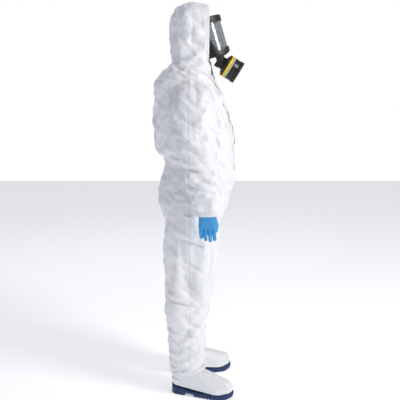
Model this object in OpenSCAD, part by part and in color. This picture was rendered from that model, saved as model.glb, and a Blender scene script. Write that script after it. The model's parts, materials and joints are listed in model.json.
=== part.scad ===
// Chemical protective suit: hooded coverall, gloves, safety boots and full-face respirator.
// Millimetres. +Z is up, the wearer faces -Y, and the wearer's right side is at -X.
// The origin is on the floor, below the middle of the suit.

/* [Coverall] */
// Floor to the crotch seam
leg_length = 850; // [790:5:910]
// Crotch seam to the neck seam
torso_length = 750; // [700:5:800]
// Neck seam to the crown of the hood
hood_height = 268; // [258:1:300]
// Fabric as modelled, thicker than the real laminate so that it holds as a solid
fabric = 2; // [1.5:0.1:3]
// Across the trunk at the chest
trunk_width = 378; // [350:2:400]
// Radius of the front's curve, seen from the side
front_radius = 703; // [600:1:900]
// How far the front bulges forward of the origin
front_bulge = 160; // [140:1:180]
// Radius of the round armhole
armhole_radius = 106; // [96:1:112]
// Upper sleeve, front to back
sleeve_depth = 166; // [140:2:180]
// Upper sleeve, side to side
sleeve_width = 126; // [110:2:130]
// Shoulder axis to elbow axis
upper_arm = 262; // [235:1:300]
// Elbow axis to the end of the cuff
forearm = 220; // [190:1:250]
// Trouser leg at the crotch, side to side
leg_width = 214; // [190:2:216]
// Gap between the two trouser legs
leg_gap = 18; // [12:1:40]
// Width of the elastic at the wrists, ankles, waist and face
elastic_width = 20; // [14:1:26]

/* [Zip] */
// Width of each woven tape
tape_width = 15; // [12:1:18]
// Width of the coil when closed
coil_width = 6; // [4:0.5:7]
// Storm flap, edge to edge
flap_width = 56; // [44:1:64]

/* [Respirator] */
// Radius of the panoramic lens
lens_radius = 78; // [74:1:79]
// Thickness of the lens
lens_wall = 2.5; // [2:0.1:3.5]
// How far the lens leans back at the top, in degrees
mask_tilt = 16.5; // [10:0.5:20]
// How far the filter points below level, in degrees
filter_drop = 32; // [20:1:40]
// Across the filter canister
filter_diameter = 105; // [92:1:108]
// Along the filter canister, without its thread
filter_length = 80; // [64:1:90]
// Outside of the filter's 40 mm round thread
thread_diameter = 39.6; // [38:0.1:41]

/* [Gloves and boots] */
// Glove film as modelled
glove_wall = 1.5; // [1:0.1:2]
// Across the knuckles
palm_width = 84; // [76:1:92]
// Boot, heel to toe
boot_length = 304; // [285:1:325]
// Boot across the ball of the foot
boot_width = 108; // [98:1:116]
// Floor to the top of the boot's shaft
boot_height = 330; // [300:5:360]
// Wall of the moulded boot
boot_wall = 4; // [3:0.5:5]
// How far each boot turns out, in degrees
toe_out = 15; // [0:1:20]

/* [Hidden] */

white = "whitesmoke";
gap = 1;              // left between neighbouring fabric panels
slice_points = 24;    // corners of a garment's cross-section
squareness = 0.78;    // 1 is an ellipse, and less is squarer
thin = 0.02;          // thickness of the slices that a hull joins
past = 2;             // how far a cutter runs past what it cuts

neck_z = leg_length + torso_length;
crown_z = neck_z + hood_height;

// ---------- shared shapes ----------

// The outline of a cross-section with half sizes rx and ry.
function section(rx, ry, power = squareness) = [
    for (i = [0 : slice_points - 1])
        let (t = 360 * i / slice_points, c = cos(t), s = sin(t))
        [rx * sign(c) * pow(abs(c), power), ry * sign(s) * pow(abs(s), power)]
];

// A slice is [x, y, z, half width, half depth, lean outwards in degrees, pitch in degrees],
// and may end with a power of its own for its outline.
function slice_ring(s, inset) =
    let (power = is_undef(s[7]) ? squareness : s[7])
    [for (p = section(s[3] - inset, s[4] - inset, power)) slice_point(s, p)];

function slice_point(s, p) =
    let (rise = p[1] * sin(s[6]))
    [s[0] + p[0] * cos(s[5]) + rise * sin(s[5]), s[1] + p[1] * cos(s[6]),
        s[2] - p[0] * sin(s[5]) + rise * cos(s[5])];

// A tube of cloth through slices listed from the bottom up, open at both ends.
module cloth_tube(slices, wall = fabric) {
    n = slice_points;
    top = (len(slices) - 1) * n;
    skin = len(slices) * n;        // where the inner wall's points begin
    points = [
        for (s = slices) each slice_ring(s, 0),
        for (s = slices) each slice_ring(s, wall),
    ];
    faces = [
        for (k = [0 : n : top - n], j = [0 : n - 1])
            let (a = k + j, b = k + (j + 1) % n)
            each [[a, a + n, b + n], [a, b + n, b],
                [skin + a, skin + b + n, skin + a + n], [skin + a, skin + b, skin + b + n]],
        for (j = [0 : n - 1])
            let (b = (j + 1) % n)
            each [[j, b, skin + b], [j, skin + b, skin + j],
                [top + j, skin + top + j, skin + top + b], [top + j, skin + top + b, top + b]],
    ];
    polyhedron(points, faces);
}

module right_and_left(side) {
    if (side == "right") children();
    else mirror([1, 0, 0]) children();
}

// ---------- trunk ----------

arc_z = leg_length + 305;              // height of the bulge's foremost point
arc_y = front_radius - front_bulge;    // the arc's centre is behind the suit
neck_front = -50;
trunk_bottom = leg_length + 160;       // the seat panel begins below this
armhole_y = 35;
armhole_z = leg_length + torso_length - 195;
zip_top = leg_length + torso_length - 87;
zip_bottom = leg_length + 145;

// The trunk's back and half width at shares of the torso's length.
back_line = [[0, 168], [0.12, 198], [0.213, 195], [0.333, 164], [0.393, 168], [0.467, 202],
    [0.6, 212], [0.787, 215], [0.873, 211], [0.947, 165], [1, 120]];
side_line = [[0, 0.598], [0.12, 0.577], [0.213, 0.54], [0.333, 0.487], [0.393, 0.482],
    [0.467, 0.492], [0.6, 0.497], [0.787, 0.5], [0.873, 0.49], [0.947, 0.385], [1, 0.259]];

function trunk_share(z) = (z - leg_length) / torso_length;
function trunk_front(z) = min(neck_front, front_arc(z, 0));
function trunk_back(z) = lookup(trunk_share(z), back_line);
function trunk_side(z) = lookup(trunk_share(z), side_line) * trunk_width;

// The front's curve at height z, moved out by out.
function front_arc(z, out) =
    arc_y - sqrt(max(1, pow(front_radius + out, 2) - pow(z - arc_z, 2)));

function trunk_slices(low, high, steps, grow = 0) = [
    for (i = [0 : steps])
        let (z = low + (high - low) * i / steps, f = trunk_front(z), b = trunk_back(z))
        [0, (f + b) / 2, z, trunk_side(z) + grow, (b - f) / 2 + grow, 0, 0]
];

trunk_rows = trunk_slices(trunk_bottom, neck_z - gap, 12);
panel_half_gap = 9;      // front panels stop this far from the centre line, where the zip is

module trunk() {
    difference() {
        cloth_tube(trunk_rows);
        translate([0, armhole_y, armhole_z]) rotate([0, 90, 0])
            cylinder(h = 2 * trunk_width, r = armhole_radius, center = true, $fn = 48);
    }
}

// Keeps what is in front of the side seam, on the right.
module front_half() {
    translate([-trunk_width, -2 * front_bulge, 0])
        cube([trunk_width - panel_half_gap, 2 * front_bulge + armhole_y - gap / 2, crown_z]);
}

module front_panel(side) {
    color(white) right_and_left(side) intersection() {
        trunk();
        front_half();
    }
}

module back_panel() {
    color(white) intersection() {
        trunk();
        translate([-trunk_width, armhole_y + gap / 2, 0])
            cube([2 * trunk_width, 2 * front_bulge, crown_z]);
    }
}

// The gathered casing across the back of the waist.
waist_z = leg_length + 0.365 * torso_length;
module waist_elastic() {
    rows = trunk_slices(waist_z - elastic_width / 2, waist_z + elastic_width / 2, 2,
        -fabric - gap);
    color(white) intersection() {
        cloth_tube(rows, fabric);
        translate([-trunk_width, armhole_y, 0]) cube([2 * trunk_width, 2 * front_bulge, crown_z]);
    }
}

module seat_panel() {
    color(white) cloth_tube(trunk_slices(leg_length + gap, trunk_bottom - gap, 4));
}

module crotch_gusset() {
    inner = leg_width * 0.06;
    y = (leg_front(leg_length) + leg_back(leg_length)) / 2;
    color(white) translate([0, y, leg_length - fabric / 2 - gap])
        linear_extrude(fabric, center = true)
            polygon([[-leg_gap / 2 + gap, 0], [0, -inner * 5], [leg_gap / 2 - gap, 0], [0, inner * 5]]);
}

// ---------- zip and flaps ----------

zip_inset = 6;          // the tapes lie this far behind the front panels' face
arc_top = asin((zip_top - arc_z) / front_radius);
arc_bottom = asin((zip_bottom - arc_z) / front_radius);

// A strip bent along the front's curve: x from x0 to x1, standing out from low to high.
module front_strip(x0, x1, low, high, from_angle, to_angle) {
    translate([0, arc_y, arc_z]) rotate([0, 90, 0]) rotate([0, 0, -to_angle - 90])
        rotate_extrude(angle = to_angle - from_angle, $fn = 360)
            translate([front_radius + low, x0]) square([high - low, x1 - x0]);
}

// Moves children from the foremost point of the curve to the given angle up it.
module on_front(angle, out) {
    translate([0, arc_y, arc_z]) rotate([-angle, 0, 0]) translate([0, -front_radius - out, 0])
        children();
}

module zip_tapes() {
    color("white") for (s = [-1, 1])
        front_strip(s > 0 ? coil_width / 2 : -tape_width, s > 0 ? tape_width : -coil_width / 2,
            -zip_inset - 0.8, -zip_inset, arc_bottom, arc_top);
}

module zip_coil() {
    color("lightgray") for (s = [-1, 1])
        front_strip(s > 0 ? 0.1 : -coil_width / 2 + 0.1, s > 0 ? coil_width / 2 - 0.1 : -0.1,
            -zip_inset - 1.4, -zip_inset + 0.6, arc_bottom, arc_top);
}

slider_length = 12;
slider_width = 9;
slider_plate = 1.2;
slider_angle = asin((zip_top - 12 - arc_z) / front_radius);
slider_gap = 0.5;
coil_front = -zip_inset + 0.6;
slider_back = coil_front + slider_gap;
bail_pin = 1;          // radius of the bail that the pull hangs on
bail_out = slider_back + slider_plate + 2.2;

module zip_slider() {
    color("silver") on_front(slider_angle, 0) {
        translate([-slider_width / 2, -slider_back - slider_plate, -slider_length / 2])
            cube([slider_width, slider_plate, slider_length]);
        for (x = [-3.4, 2.2])
            translate([x, -bail_out - bail_pin - 0.3, -2])
                cube([1.2, bail_out + bail_pin - slider_back, 4]);
        translate([0, -bail_out, 0]) rotate([0, 90, 0])
            cylinder(h = 5, r = bail_pin, center = true, $fn = 24);
    }
}

module zip_pull() {
    color("silver") on_front(slider_angle, bail_out) difference() {
        hull() {
            rotate([0, 90, 0]) cylinder(h = 3.6, r = bail_pin + 0.9, center = true, $fn = 24);
            translate([-1.8, -0.7, -24]) cube([3.6, 1.4, 2]);
        }
        rotate([0, 90, 0]) cylinder(h = 6, r = bail_pin + 0.05, center = true, $fn = 24);
    }
}

module zip_stops() {
    color("silver") for (a = [arc_top + 0.25, arc_bottom - 0.35])
        on_front(a, -zip_inset - 1.2) translate([-3.5, -1, -1.5]) cube([7, 2.4, 3]);
}

flap_out = 4;           // the flap stands this far in front of the panels
flap_top = asin((zip_top - 8 - arc_z) / front_radius);
flap_bottom = asin((zip_bottom - 10 - arc_z) / front_radius);

module storm_flap() {
    color(white)
        front_strip(-flap_width / 2, flap_width / 2, flap_out, flap_out + fabric / 2,
            flap_bottom, flap_top);
}

module flap_adhesive_tape() {
    color("ivory")
        front_strip(-flap_width / 2 + 3, -flap_width / 2 + 15, flap_out - 0.8, flap_out - 0.1,
            flap_bottom + 1, flap_top - 1);
}

module chin_flap() {
    color(white) difference() {
        translate([0, neck_front - 7, neck_z - 40]) rotate([-12, 0, 0])
            rounded_plate(84, 62, 12, fabric);
        translate([0, neck_front, neck_z + 20]) rotate([90, 0, 0])
            cylinder(h = 60, r = 36, center = true, $fn = 48);
    }
}

// A standing plate with round corners, seen from the front.
module rounded_plate(w, h, r, t) {
    rotate([90, 0, 0]) linear_extrude(t, center = true) {
        square([w - 2 * r, h], center = true);
        square([w, h - 2 * r], center = true);
        for (x = [-1, 1], y = [-1, 1]) translate([x * (w / 2 - r), y * (h / 2 - r)]) circle(r, $fn = 32);
    }
}

// ---------- hood ----------

hood_width = 2 * 106;
hood_y = 32;               // middle of the head
hood_neck_depth = 92;
hood_face_y = -42;         // plane of the face opening
hood_strip = 44;           // half width of the centre panel

module hood_form(inset, over = 0) {
    r = hood_width / 2 - inset;
    hull() {
        translate([0, hood_y, crown_z - hood_width / 2]) sphere(r, $fn = 40);
        translate([0, hood_y - 2, neck_z + gap - over]) linear_extrude(thin)
            polygon(section(r - 4, hood_neck_depth - inset));
        translate([0, hood_face_y + 16, crown_z - hood_width / 2 - 20]) sphere(r - 4, $fn = 32);
    }
}

module hood() {
    difference() {
        hood_form(0);
        hood_form(fabric, past);
        translate([-hood_width, -400 + hood_face_y, neck_z - 50]) cube([2 * hood_width, 400, 500]);
    }
}

module hood_strip_region(extra) {
    translate([-hood_strip - extra, hood_face_y - 200, neck_z - 50])
        cube([2 * (hood_strip + extra), 500, 500]);
}

module hood_centre_panel() {
    color(white) intersection() {
        hood();
        hood_strip_region(0);
    }
}

module hood_side(side) {
    color(white) right_and_left(side) difference() {
        hood();
        hood_strip_region(gap);
        translate([0, -400, neck_z - 50]) cube([400, 800, 600]);
    }
}

// The gathered edge of the face opening: two uprights and an arch.
module face_elastic() {
    color(white) difference() {
        intersection() {
            hood_form(fabric + gap);
            translate([-hood_width, hood_face_y + 2, neck_z + 2 * gap])
                cube([2 * hood_width, elastic_width / 2, 500]);
        }
        hood_form(fabric + gap + 3, past + 10);
    }
}

// ---------- sleeves ----------

sleeve_start = 140;        // the sleeve's end stands inside the armhole
shoulder_fit = 4.5;          // room between the sleeve's end and the armhole
shoulder_r = armhole_radius - shoulder_fit;
elbow = [-297, 6, armhole_z - upper_arm];
elbow_half = 84;           // the elbow panel runs this far each way from the elbow axis
wrist = [-326, -31, elbow[2] - forearm];
sw = sleeve_width / 2;
sd = sleeve_depth / 2;

function between(a, b, t) = [for (i = [0 : 2]) a[i] + (b[i] - a[i]) * t];
function sleeve_slice(p, w, d, lean) = [p[0], p[1], p[2], w, d, lean, 0];

function upper_end(extra) = [elbow[0] + 15, elbow[1] + 16, elbow[2] + elbow_half + extra];
function lower_start(extra) = [elbow[0] - 13, elbow[1] - 30, elbow[2] - elbow_half - extra];

// A slice between the armpit side's point and the outer side's point, each [x, height].
function shoulder_slice(inner, outer, depth) =
    let (half = norm(inner - outer) / 2, mid = (inner + outer) / 2)
    [mid[0], armhole_y, armhole_z + mid[1], half, depth, atan2(mid[1] - inner[1], inner[0] - mid[0]), 0];

// The sleeve's end is round, so that it can turn in the armhole.
module upper_sleeve(side) {
    color(white) right_and_left(side) cloth_tube([
        sleeve_slice(upper_end(gap / 2), sw, sd, 8),
        shoulder_slice([-198, -132], [-318, -62], sd + 3),
        shoulder_slice([-193, -112], [-292, 20], sd + 9),
        shoulder_slice([-191, -shoulder_r], [-246, 80], sd + 15),
        [-180, armhole_y, armhole_z, shoulder_r, shoulder_r, 90, 0, 1],
        [-sleeve_start, armhole_y, armhole_z, shoulder_r, shoulder_r, 90, 0, 1],
    ]);
}

module elbow_panel(side) {
    color(white) right_and_left(side) cloth_tube([
        sleeve_slice(lower_start(-gap / 2), sw - 2, sd - 8, 9),
        sleeve_slice(elbow, sw - 2, sd - 3, 9),
        sleeve_slice(upper_end(-gap / 2), sw, sd, 8),
    ]);
}

cuff_top = [wrist[0] + 2, wrist[1] + 5, wrist[2] + elastic_width];
cuff_w = 40;               // half sizes of the gathered cuff
cuff_d = 49;

module lower_sleeve(side) {
    start = lower_start(gap / 2);
    color(white) right_and_left(side) cloth_tube([
        sleeve_slice(between(start, cuff_top, 0.985), cuff_w + 2, cuff_d + 3, 4),
        sleeve_slice(between(start, cuff_top, 0.8), sw - 12, sd - 20, 5),
        sleeve_slice(between(start, cuff_top, 0.5), sw - 5, sd - 11, 6),
        sleeve_slice(start, sw - 2, sd - 8, 9),
    ]);
}

module cuff_elastic(side) {
    color(white) right_and_left(side) cloth_tube([
        sleeve_slice(wrist, cuff_w, cuff_d, 4),
        sleeve_slice(cuff_top, cuff_w + 1, cuff_d + 1, 4),
    ]);
}

// ---------- gloves ----------

glove_fit = 4;             // room between the glove's cuff and the elastic
hand = [wrist[0] - 1, wrist[1] - 3, wrist[2]];
// Knuckle offsets along the hand, from the little finger, with each finger's two lengths.
fingers = [[0.36, 26, 22], [0.13, 32, 26], [-0.11, 35, 28], [-0.34, 32, 25]];
finger_r = 9.5;
glove_top_w = cuff_w - fabric - glove_fit;
glove_top_d = cuff_d - fabric - glove_fit;

module glove_form(inset, over) {
    palm_r = 15 - inset;
    top = [hand[0] + 2, hand[1] + 5, hand[2] + 55];
    knuckle_z = hand[2] - 48;
    spread = palm_width / 2 - 15;
    hull() {
        translate([top[0], top[1], top[2] + over]) linear_extrude(thin)
            polygon(section(glove_top_w - inset, glove_top_d - inset));
        glove_wrist(inset);
    }
    hull() {
        glove_wrist(inset);
        for (y = [-spread, spread]) translate([hand[0], hand[1] + y, knuckle_z]) sphere(palm_r, $fn = 14);
    }
    for (f = fingers) finger(f, knuckle_z, finger_r - inset);
    thumb(finger_r + 1 - inset);
}

module glove_wrist(inset) {
    translate([hand[0], hand[1], hand[2] + 4]) linear_extrude(thin)
        polygon(section(glove_top_w - 4 - inset, glove_top_d - 4 - inset));
}

module finger(f, knuckle_z, r) {
    root = [hand[0], hand[1] + f[0] * palm_width, knuckle_z - 2];
    middle = [root[0] - 2, root[1], root[2] - f[1]];
    tip = [root[0] + 9, root[1] - 2, middle[2] - f[2]];
    rod(root, middle, r);
    rod(middle, tip, r - 0.8);
}

module thumb(r) {
    root = [hand[0] + 8, hand[1] - palm_width * 0.36, hand[2] - 14];
    middle = [root[0] + 8, root[1] - 9, root[2] - 32];
    rod(root, middle, r);
    rod(middle, [middle[0] + 5, middle[1] + 4, middle[2] - 26], r - 1);
}

module rod(a, b, r) {
    hull() {
        translate(a) sphere(r, $fn = 10);
        translate(b) sphere(r, $fn = 10);
    }
}

module glove(side) {
    color("dodgerblue") right_and_left(side) difference() {
        glove_form(0, 0);
        glove_form(glove_wall, past);
    }
}

// ---------- trouser legs ----------

leg_x = leg_gap / 2 + leg_width / 2;
knee_z = 500;
knee_half = 88;            // the knee panel runs this far each way from the knee axis
hem_z = 118;
hem_pitch = -10;           // the hem is higher over the instep
front_leg_line = [[0, -25], [118, -26], [268, -29], [380, -20], [430, -28], [460, -46],
    [520, -60], [640, -73], [760, -90], [850, -104]];
back_leg_line = [[0, 137], [118, 138], [268, 153], [400, 165], [470, 166], [520, 152],
    [640, 166], [720, 168], [764, 150], [850, 168]];
side_leg_line = [[0, 0.36], [118, 0.38], [268, 0.41], [430, 0.43], [640, 0.47], [850, 0.5]];

// Heights up the leg are for a leg of this length, and stretch with leg_length.
drawn_leg = 850;
function leg_level(z) = z * drawn_leg / leg_length;
function leg_front(z) = lookup(leg_level(z), front_leg_line);
function leg_back(z) = lookup(leg_level(z), back_leg_line);
function leg_side(z) = lookup(leg_level(z), side_leg_line) * leg_width;
function leg_slice(z, grow = 0, pitch = 0) =
    [-leg_x, (leg_front(z) + leg_back(z)) / 2, z, leg_side(z) + grow,
        (leg_back(z) - leg_front(z)) / 2 + grow, 0, pitch];
function leg_slices(low, high, steps) =
    [for (i = [0 : steps]) leg_slice(low + (high - low) * i / steps)];

module thigh_panel(side) {
    color(white) right_and_left(side)
        cloth_tube(leg_slices(knee_z + knee_half + gap / 2, leg_length - gap, 4));
}

module knee_panel(side) {
    color(white) right_and_left(side)
        cloth_tube(leg_slices(knee_z - knee_half + gap / 2, knee_z + knee_half - gap / 2, 3));
}

module shin_panel(side) {
    low = hem_z + elastic_width + gap + 6;
    color(white) right_and_left(side) cloth_tube(concat(
        [leg_slice(low, 0, hem_pitch)],
        leg_slices(low + 24, knee_z - knee_half - gap / 2, 3)));
}

module ankle_elastic(side) {
    color(white) right_and_left(side) cloth_tube([
        leg_slice(hem_z, -1, hem_pitch),
        leg_slice(hem_z + elastic_width + 3, -0.5, hem_pitch),
    ]);
}

// ---------- boots ----------

ankle_y = 66;              // the boot's shaft is centred here
heel_y = ankle_y + 70;
toe_y = heel_y - boot_length;
shaft_r = 56;
ball_r = boot_width / 2;
sole_grip = 5;             // depth of the tread and of the heel's step
sole_rim = 2.5;            // the sole stands out past the upper by this much

module boot_place(side) {
    right_and_left(side) translate([-leg_x - 1, ankle_y, 0]) rotate([0, 0, -toe_out])
        translate([0, -ankle_y, 0]) children();
}

// The foot's outline from above, grown by grow.
module foot_outline(grow) {
    ball_y = toe_y + ball_r + 24;
    polygon([
        for (t = [0 : 10 : 180]) let (r = boot_width * 0.36)
            [(r + grow) * cos(t), heel_y - r + (r + grow) * sin(t)],
        for (t = [180 : 10 : 360])
            [ball_r * cos(t) + grow * cos(t) - 3, ball_y + (ball_y - toe_y + grow) * sin(t)],
    ]);
}

// The sole's side view: heel, arch, tread and toe spring.
module sole_side() {
    back = heel_y + sole_rim + 1;
    front = toe_y - sole_rim - 1;
    polygon([
        [back, 44], [back, 5], [back - 5, 0], [ankle_y - 2, 0], [ankle_y - 8, 14],
        [ankle_y - 46, 12], [ankle_y - 54, 0], [front + 48, 0], [front + 6, 12], [front, 20],
        [front, 30], [front + 60, 22], [ankle_y - 50, 22], [ankle_y, 30],
    ]);
}

module boot_sole(side) {
    color("midnightblue") boot_place(side) difference() {
        intersection() {
            linear_extrude(60) foot_outline(sole_rim);
            rotate([90, 0, 90]) linear_extrude(boot_width * 2, center = true) sole_side();
        }
        for (y = [toe_y + 70 : 18 : ankle_y - 60])
            translate([-boot_width, y, -1]) cube([2 * boot_width, 5, sole_grip]);
    }
}

module boot_form(inset) {
    floor_z = 48 + inset;
    hull() {
        translate([0, ankle_y - 2, boot_height + (inset > 0 ? past : 0)])
            cylinder(h = thin, r = shaft_r + 4 - inset, $fn = 32);
        translate([0, heel_y - shaft_r + 10, floor_z + 40]) cylinder(h = thin, r = shaft_r - 14 - inset, $fn = 32);
        translate([0, ankle_y - 6, 150]) cylinder(h = thin, r = shaft_r - inset, $fn = 32);
    }
    hull() {
        translate([0, heel_y - 40, floor_z - 3]) cylinder(h = 45, r = 39 - inset, $fn = 32);
        translate([-3, toe_y + ball_r + 24, 26 + inset]) cylinder(h = 22, r = ball_r - inset, $fn = 32);
        translate([-3, toe_y + 44, 45]) sphere(42 - inset, $fn = 32);
        translate([0, ankle_y - 20, 130]) cylinder(h = thin, r = shaft_r - 14 - inset, $fn = 32);
    }
}

module boot_upper(side) {
    color("white") boot_place(side) difference() {
        boot_form(0);
        boot_form(boot_wall);
        sole_space();
    }
}

// Everything that lies under the sole's top face.
module sole_space() {
    rotate([90, 0, 90]) linear_extrude(boot_width * 3, center = true) polygon([
        [heel_y + 40, -20], [heel_y + 40, 45.3], [heel_y + 4, 45.3], [ankle_y, 30.3],
        [ankle_y - 50, 22.3], [toe_y + 58, 22.3], [toe_y - 3, 30.3], [toe_y - 60, 30.3],
        [toe_y - 60, -20],
    ]);
}

module boot_insole(side) {
    color("gray") boot_place(side) intersection() {
        linear_extrude(80) foot_outline(-boot_wall - 18);
        rotate([90, 0, 90]) linear_extrude(boot_width * 2, center = true) polygon([
            [heel_y - 10, 57], [heel_y - 10, 53], [ankle_y, 41], [ankle_y - 50, 33],
            [toe_y + 60, 33], [toe_y + 16, 34], [toe_y + 16, 38], [toe_y + 60, 37],
            [ankle_y - 50, 37], [ankle_y, 45],
        ]);
    }
}

module toecap_form(r) {
    hull() {
        translate([-3, toe_y + 44, 45]) sphere(r, $fn = 32);
        translate([-3, toe_y + 60, 46]) rotate([90, 0, 0]) cylinder(h = thin, r = r - 3, $fn = 32);
    }
}

module boot_toecap(side) {
    color("silver") boot_place(side) difference() {
        toecap_form(42 - boot_wall - 1);
        toecap_form(42 - boot_wall - 2.8);
        translate([-100, toe_y - 100, -60]) cube([200, 300, 100]);
        translate([-100, toe_y + 52, 0]) cube([200, 300, 200]);
    }
}

// ---------- respirator ----------

mask_y = -34;              // the lens's axis crosses this point
mask_z = neck_z + 106;
frame_wall = 6;
fit = 0.4;                 // room between the lens and what clamps it
clamp_x = lens_radius + frame_wall + 3;
clamp_y = 8;
clamp_bolt = 1.5;          // radius of the clamp screws
clamp_half = 9;            // half the height of the clamp's two lugs together

module mask_place() {
    translate([0, mask_y, mask_z]) rotate([-mask_tilt, 0, 0]) children();
}

// A part of a drum around the lens's axis, cut to a side outline of [y, z] points.
module drum(r_in, r_out, outline) {
    mask_place() intersection() {
        difference() {
            cylinder(h = 400, r = r_out, center = true, $fn = 96);
            cylinder(h = 402, r = r_in, center = true, $fn = 96);
        }
        rotate([90, 0, 90]) linear_extrude(400, center = true) polygon(outline);
    }
}

lens_outline = [[-110, 66], [4, 66], [4, -28], [-22, -88], [-56, -88], [-110, -62]];
frame_outline = [[-110, 80], [14, 80], [14, -32], [-14, -102], [-60, -102], [-110, -76]];
frame_window = [[-120, 53], [-6, 53], [-6, -24], [-30, -78], [-54, -78], [-120, -48]];
frame_split = -14;         // the frame's halves meet here

module mask_lens() {
    color("lightcyan", 0.35) drum(lens_radius - lens_wall, lens_radius, lens_outline);
}

module frame_ring() {
    difference() {
        drum(lens_radius + fit, lens_radius + frame_wall, frame_outline);
        drum(lens_radius - 1, lens_radius + frame_wall + 1, frame_window);
    }
}

module frame_half(upper) {
    color("black") difference() {
        union() {
            intersection() {
                frame_ring();
                mask_place() translate([-150, -150, upper ? frame_split + 0.3 : -300 + frame_split])
                    cube([300, 300, 300]);
            }
            clamp_lugs(upper);
        }
        mask_place() for (x = [-clamp_x, clamp_x]) translate([x, clamp_y, frame_split])
            cylinder(h = 60, r = clamp_bolt + 0.1, center = true, $fn = 24);
    }
}

module clamp_lugs(upper) {
    low = upper ? frame_split + 0.3 : frame_split - clamp_half;
    high = upper ? frame_split + clamp_half : frame_split;
    mask_place() for (m = [0, 1]) mirror([m, 0, 0])
        translate([lens_radius + frame_wall - 2, clamp_y - 4, low]) cube([8.5, 8, high - low]);
}

// Two clamp screws on each side draw the frame's halves together.
module mask_frame_screws() {
    color("silver") mask_place() for (x = [-clamp_x, clamp_x])
        translate([x, clamp_y, frame_split]) {
            cylinder(h = 2 * clamp_half + 4, r = clamp_bolt, center = true, $fn = 24);
            for (z = [clamp_half + 0.1, -clamp_half - 2.1]) translate([0, 0, z])
                cylinder(h = 2, r = 3, $fn = 24);
        }
}

seal_r = lens_radius - lens_wall - fit;

plate_low = -98;           // the seal's bottom plate, measured down the lens's axis
plate_wall = 6;
boss_wall = 4;

// The rubber face blank: side lips, plates at top and bottom, and a boss round the connector.
module mask_face_seal() {
    color("dimgray") difference() {
        union() {
            drum(seal_r - 4, seal_r, [[-2, 76], [34, 76], [40, -20], [16, plate_low], [-10, plate_low],
                [-2, -20]]);
            mask_place() difference() {
                for (z = [70, plate_low]) translate([0, 0, z])
                    cylinder(h = plate_wall, r = seal_r - 0.2, $fn = 96);
                translate([0, 26, -200]) cylinder(h = 400, r = 62, $fn = 72);
                translate([-100, 34, -200]) cube([200, 200, 400]);
            }
            filter_place() translate([0, 0, -connector_length - 2])
                cylinder(h = 22, r = connector_r + boss_wall, $fn = 64);
            for (m = [0, 1], z = buckle_z) mirror([m, 0, 0])
                translate([-strap_r, head_y - 29, mask_z + z - 7]) cube([14, 7, 14]);
        }
        filter_place() translate([0, 0, -connector_length - 10])
            cylinder(h = 60, r = connector_r + fit, $fn = 64);
        mask_place() for (x = [-outlet_x, outlet_x]) translate([x, outlet_y, plate_low - 5])
            cylinder(h = 20, r = outlet_r - 6, $fn = 48);
    }
}

mouth_y = mask_y - 40;
mouth_z = mask_z - 74;

module oronasal_form(inset) {
    hull() {
        translate([0, mouth_y - 18, mouth_z + 44]) sphere(15 - inset, $fn = 24);
        translate([0, mouth_y + 2, mouth_z]) sphere(32 - inset, $fn = 24);
        translate([0, mouth_y + 34, mouth_z + 18]) rotate([90, 0, 0])
            cylinder(h = thin, r = 46 - inset, $fn = 32);
    }
}

module mask_oronasal() {
    color("gray") difference() {
        oronasal_form(0);
        oronasal_form(2.5);
        translate([-100, mouth_y + 30, mouth_z - 200]) cube([200, 200, 400]);
        filter_place() translate([0, 0, -60])
            cylinder(h = 90, r = connector_r + boss_wall + 0.6, $fn = 48);
        mask_place() translate([0, 0, plate_low - 100 + plate_wall + 1])
            cube([300, 300, 200], center = true);
    }
}

// The filter's axis, with z = 0 where the canister's back face stops.
filter_y = mask_y - 79;
filter_z = mask_z - 124;
connector_r = 27;
connector_length = 36;
thread_r = thread_diameter / 2;
thread_fit = 0.3;
thread_length = 17;
shut_gap = 0.5;            // between the canister and the connector's face

module filter_place() {
    translate([0, filter_y, filter_z]) rotate([90 + filter_drop, 0, 0]) children();
}

module mask_connector() {
    color("black") filter_place() difference() {
        union() {
            translate([0, 0, -connector_length]) cylinder(h = connector_length, r = connector_r, $fn = 64);
            translate([0, 0, -9]) cylinder(h = 8, r = connector_r + 3, $fn = 64);
        }
        translate([0, 0, -thread_length - 3]) cylinder(h = 60, r = thread_r + thread_fit, $fn = 64);
        translate([0, 0, -connector_length + 4]) cylinder(h = 60, r = 14, $fn = 48);
        translate([0, 0, -connector_length - 1]) for (a = [0 : 90 : 270]) rotate([0, 0, a + 45])
            translate([8, 0, 0]) cylinder(h = 10, r = 4, $fn = 24);
    }
}

module mask_inlet_valve() {
    color("orange") filter_place() translate([0, 0, -connector_length - 1.1])
        cylinder(h = 0.8, r = 13.2, $fn = 48);
}

outlet_r = 15.5;
outlet_length = 14;
outlet_x = lens_radius - 27; // one outlet valve on each side of the connector
outlet_y = -28;

module outlet_places() {
    mask_place() for (x = [-outlet_x, outlet_x])
        translate([x, outlet_y, plate_low - 0.1]) rotate([180, 0, 0]) children();
}

module mask_outlet_cover() {
    color("black") outlet_places() difference() {
        cylinder(h = outlet_length, r = outlet_r, $fn = 64);
        translate([0, 0, 3]) cylinder(h = outlet_length - 5, r = outlet_r - 2, $fn = 64);
        translate([0, 0, -1]) for (a = [0 : 60 : 300]) rotate([0, 0, a]) translate([6, 0, 0])
            cylinder(h = 8, r = 2.4, $fn = 24);
        translate([0, 0, outlet_length - 4]) for (y = [-8, -3, 2, 7])
            translate([-9, y - 1, 0]) cube([18, 2, 8]);
    }
}

module mask_outlet_valve() {
    color("orange") outlet_places() translate([0, 0, 3.2])
        cylinder(h = 0.8, r = outlet_r - 3, $fn = 48);
}

strap_r = lens_radius + 9;
strap_wall = 2;
head_y = 22;
pad_z = mask_z + 36;
buckle_z = [34, -32];        // heights of the two buckles on each side, from the mask's middle

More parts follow.
